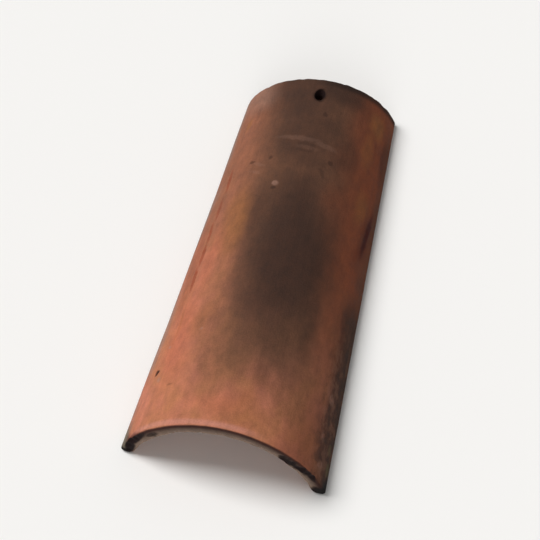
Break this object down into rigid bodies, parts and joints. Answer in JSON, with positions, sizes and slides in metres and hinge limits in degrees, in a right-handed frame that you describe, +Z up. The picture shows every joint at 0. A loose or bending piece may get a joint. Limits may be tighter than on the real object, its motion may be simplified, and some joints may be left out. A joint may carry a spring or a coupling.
{
  "type": "barrel roof tile",
  "caption": "Tapered half-barrel roof tile of fired clay with a nail hole through the crown near its narrow end.",
  "frame": {"origin": "centre of the bounding box on the floor plane that the two long edges rest on", "axes": "+Y along the tile from its wide tail end to its narrow head end, +Z up through the crown, +X across to the right seen from the tail"},
  "size_m": [0.205, 0.457, 0.08],
  "materials": {
    "fired_clay": "matte unglazed terracotta with smoky flashed patches"
  },
  "bodies": {
    "root": {"tile": "fired_clay"}
  },
  "joints": []
}
